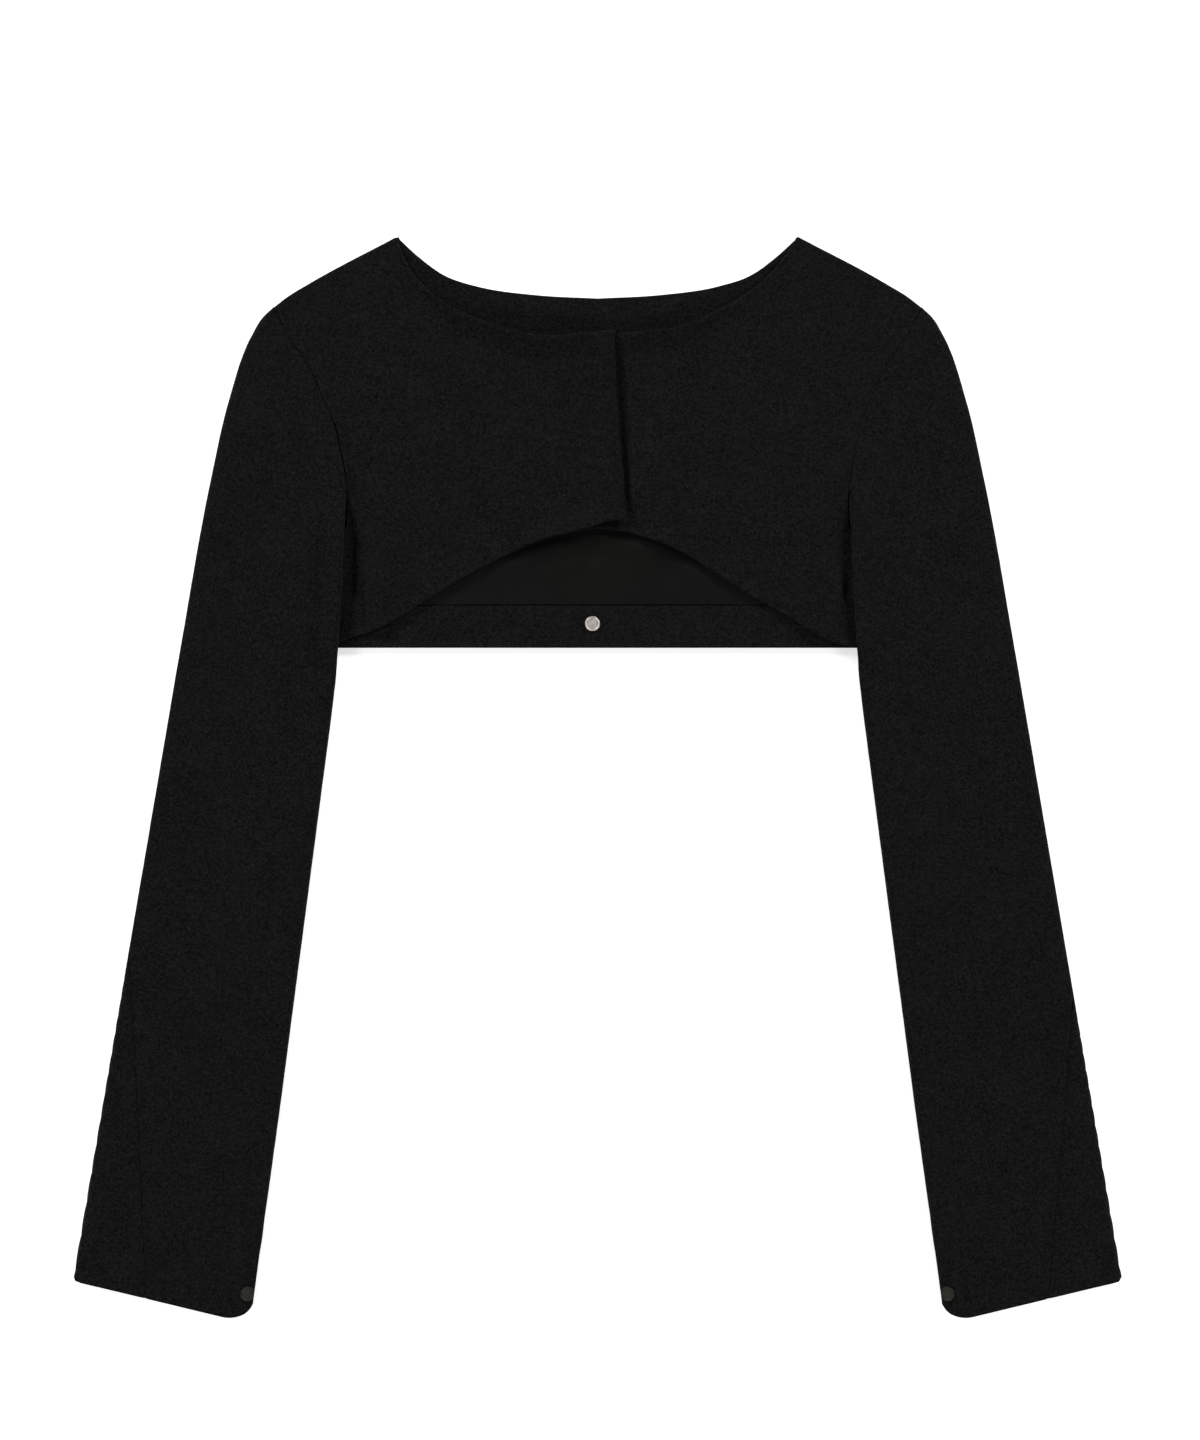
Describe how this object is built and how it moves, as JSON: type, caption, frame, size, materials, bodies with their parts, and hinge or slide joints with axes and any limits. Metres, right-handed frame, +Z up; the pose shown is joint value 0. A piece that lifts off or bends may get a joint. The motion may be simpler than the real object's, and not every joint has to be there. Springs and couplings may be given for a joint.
{
  "type": "felted wool shrug",
  "caption": "Cropped collarless shrug in black felted wool, laid flat: overlapped fronts, arched front opening, lined back, long two-piece sleeves, metal snaps at hem and cuffs.",
  "frame": {"origin": "On the floor under the middle of the garment's outline.", "axes": "+X towards the wearer's left, +Y from cuffs to neck, +Z up from the floor through the layers, front of the garment upwards."},
  "size_m": [0.6482, 0.6699, 0.0105],
  "materials": {
    "wool": "matte felted wool with a short tangled nap",
    "lining": "smooth woven lining with a faint sheen",
    "light_nickel": "light satin nickel with a fine grid in the dish",
    "dark_nickel": "dark worn nickel"
  },
  "bodies": {
    "root": {"back": "wool", "back_lining": "lining", "back_hem_facing": "wool", "back_neck_facing": "wool", "right_front": "wool", "left_front": "wool", "right_sleeve_top": "wool", "right_sleeve_under": "wool", "left_sleeve_top": "wool", "left_sleeve_under": "wool", "hem_snap": "light_nickel", "right_cuff_snap": "dark_nickel", "left_cuff_snap": "dark_nickel"}
  },
  "joints": []
}
